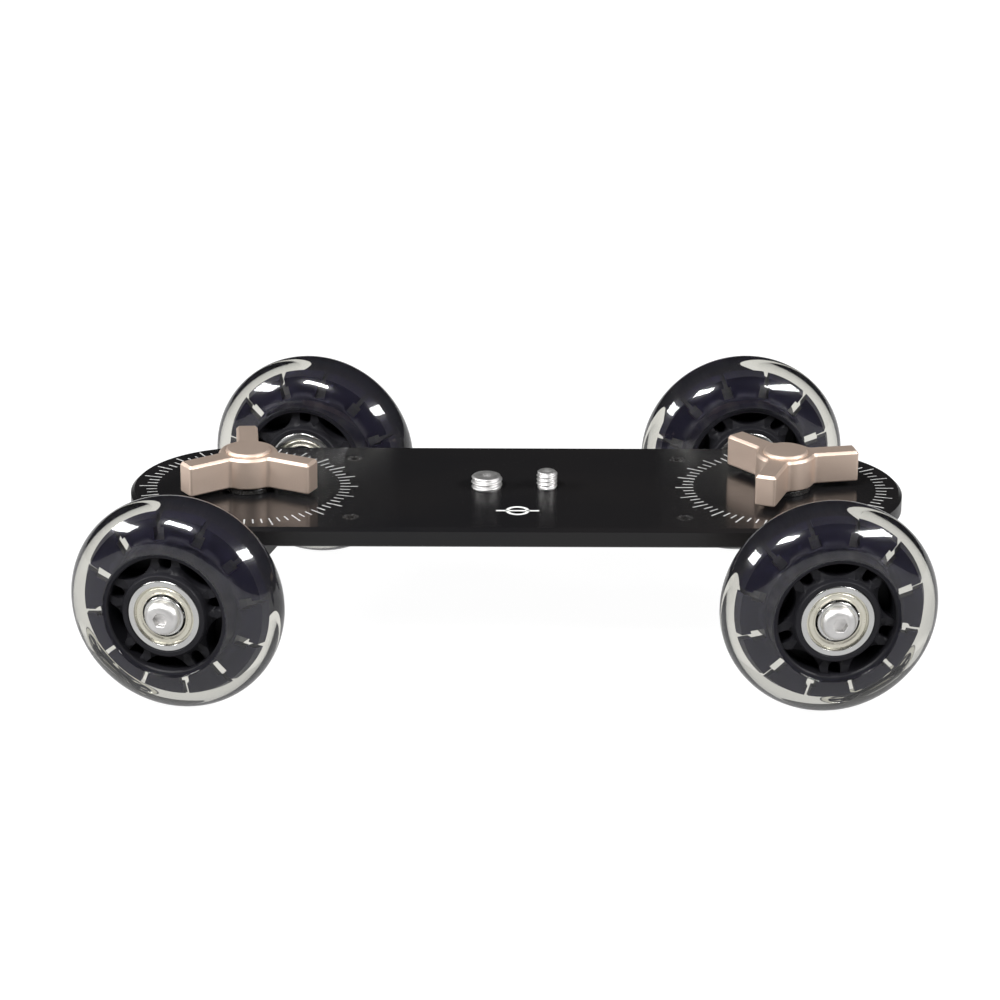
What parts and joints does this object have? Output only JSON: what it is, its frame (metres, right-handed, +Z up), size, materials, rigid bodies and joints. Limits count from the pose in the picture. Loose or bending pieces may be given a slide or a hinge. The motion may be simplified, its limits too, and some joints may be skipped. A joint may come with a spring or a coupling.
{
  "type": "camera slider dolly",
  "caption": "Tabletop camera dolly: a stadium-shaped deck on two lockable steering axles with clear skate wheels, camera studs and degree rings.",
  "frame": {"origin": "on the ground plane the wheels stand on, under the middle of the deck", "axes": "+X along the deck towards the quarter-inch stud, +Y across the deck, +Z up"},
  "size_m": [0.2549, 0.159, 0.065],
  "materials": {
    "anodised_plate": "brushed black anodised, semi-gloss",
    "anodised_bar": "satin black anodised",
    "champagne_anodised": "champagne anodised, fine satin",
    "clear_urethane": "clear cast urethane, glossy",
    "black_nylon": "moulded glass-filled nylon",
    "bearing_steel": "ground and polished",
    "shield_zinc": "zinc plated, slightly yellow",
    "cage_steel": "pressed sheet",
    "bright_steel": "bright nickel plate",
    "zinc_steel": "zinc plated",
    "black_steel": "black oxide",
    "spacer_aluminium": "turned",
    "bronze": "sintered bronze",
    "nylon": "natural nylon",
    "white_print": "white print of the degree rings and the mark"
  },
  "bodies": {
    "deck": {"base_plate": "anodised_plate", "pivot_bushes": "bronze", "camera_stud_38": "bright_steel", "camera_stud_14": "bright_steel", "plug_screws": "black_steel"},
    "axle_left": {"axle_bar_left": "anodised_bar", "clamp_bolt_left": "zinc_steel", "friction_pad_left": "nylon", "inner_rings_left": "bearing_steel", "bearing_spacers_left": "spacer_aluminium", "end_washers_left": "zinc_steel", "axle_sleeves_left": "bearing_steel", "axle_screws_left": "bright_steel"},
    "washer_left": {"knob_washer_left": "black_steel"},
    "knob_left": {"clamp_knob_left": "champagne_anodised", "knob_insert_left": "zinc_steel"},
    "wheel_front_left": {"tyre_front_left": "clear_urethane", "core_front_left": "black_nylon", "outer_rings_front_left": "bearing_steel", "shields_front_left": "shield_zinc"},
    "balls_front_left": {"balls_front_left": "bearing_steel", "cages_front_left": "cage_steel"},
    "wheel_back_left": {"tyre_back_left": "clear_urethane", "core_back_left": "black_nylon", "outer_rings_back_left": "bearing_steel", "shields_back_left": "shield_zinc"},
    "balls_back_left": {"balls_back_left": "bearing_steel", "cages_back_left": "cage_steel"},
    "axle_right": {"axle_bar_right": "anodised_bar", "clamp_bolt_right": "zinc_steel", "friction_pad_right": "nylon", "inner_rings_right": "bearing_steel", "bearing_spacers_right": "spacer_aluminium", "end_washers_right": "zinc_steel", "axle_sleeves_right": "bearing_steel", "axle_screws_right": "bright_steel"},
    "washer_right": {"knob_washer_right": "black_steel"},
    "knob_right": {"clamp_knob_right": "champagne_anodised", "knob_insert_right": "zinc_steel"},
    "wheel_front_right": {"tyre_front_right": "clear_urethane", "core_front_right": "black_nylon", "outer_rings_front_right": "bearing_steel", "shields_front_right": "shield_zinc"},
    "balls_front_right": {"balls_front_right": "bearing_steel", "cages_front_right": "cage_steel"},
    "wheel_back_right": {"tyre_back_right": "clear_urethane", "core_back_right": "black_nylon", "outer_rings_back_right": "bearing_steel", "shields_back_right": "shield_zinc"},
    "balls_back_right": {"balls_back_right": "bearing_steel", "cages_back_right": "cage_steel"}
  },
  "joints": [
    {"name": "steer_left", "type": "hinge", "parent": "deck", "child": "axle_left", "pos_m": [-0.082, 0, 0.045], "axis": [0, 0, 1], "range_deg": [-9.7, 42.3]},
    {"name": "knob_rise_left", "type": "slide", "parent": "axle_left", "child": "washer_left", "axis": [0, 0, 1], "range_m": [0, 0.0013]},
    {"name": "knob_turn_left", "type": "hinge", "parent": "washer_left", "child": "knob_left", "pos_m": [-0.082, 0, 0.045], "axis": [0, 0, 1], "range_deg": [0, 360]},
    {"name": "spin_front_left", "type": "hinge", "parent": "axle_left", "child": "wheel_front_left", "pos_m": [-0.1001, -0.06191, 0.0325], "axis": [0.2807, 0.9598, 0], "continuous": true},
    {"name": "cage_front_left", "type": "hinge", "parent": "axle_left", "child": "balls_front_left", "pos_m": [-0.1001, -0.06191, 0.0325], "axis": [0.2807, 0.9598, 0], "continuous": true},
    {"name": "spin_back_left", "type": "hinge", "parent": "axle_left", "child": "wheel_back_left", "pos_m": [-0.0639, 0.06191, 0.0325], "axis": [0.2807, 0.9598, 0], "continuous": true},
    {"name": "cage_back_left", "type": "hinge", "parent": "axle_left", "child": "balls_back_left", "pos_m": [-0.0639, 0.06191, 0.0325], "axis": [0.2807, 0.9598, 0], "continuous": true},
    {"name": "steer_right", "type": "hinge", "parent": "deck", "child": "axle_right", "pos_m": [0.082, 0, 0.045], "axis": [0, 0, 1], "range_deg": [-33.9, 18.1]},
    {"name": "knob_rise_right", "type": "slide", "parent": "axle_right", "child": "washer_right", "axis": [0, 0, 1], "range_m": [0, 0.0013]},
    {"name": "knob_turn_right", "type": "hinge", "parent": "washer_right", "child": "knob_right", "pos_m": [0.082, 0, 0.045], "axis": [0, 0, 1], "range_deg": [0, 360]},
    {"name": "spin_front_right", "type": "hinge", "parent": "axle_right", "child": "wheel_front_right", "pos_m": [0.09087, -0.06389, 0.0325], "axis": [-0.1374, 0.9905, 0], "continuous": true},
    {"name": "cage_front_right", "type": "hinge", "parent": "axle_right", "child": "balls_front_right", "pos_m": [0.09087, -0.06389, 0.0325], "axis": [-0.1374, 0.9905, 0], "continuous": true},
    {"name": "spin_back_right", "type": "hinge", "parent": "axle_right", "child": "wheel_back_right", "pos_m": [0.07313, 0.06389, 0.0325], "axis": [-0.1374, 0.9905, 0], "continuous": true},
    {"name": "cage_back_right", "type": "hinge", "parent": "axle_right", "child": "balls_back_right", "pos_m": [0.07313, 0.06389, 0.0325], "axis": [-0.1374, 0.9905, 0], "continuous": true}
  ],
  "couplings": [
    {"joint": "knob_rise_left", "follows": "knob_turn_left", "m_per_rad": 0.00019894},
    {"joint": "cage_front_left", "follows": "spin_front_left", "ratio": 0.6323},
    {"joint": "cage_back_left", "follows": "spin_back_left", "ratio": 0.6323},
    {"joint": "knob_rise_right", "follows": "knob_turn_right", "m_per_rad": 0.00019894},
    {"joint": "cage_front_right", "follows": "spin_front_right", "ratio": 0.6323},
    {"joint": "cage_back_right", "follows": "spin_back_right", "ratio": 0.6323}
  ]
}
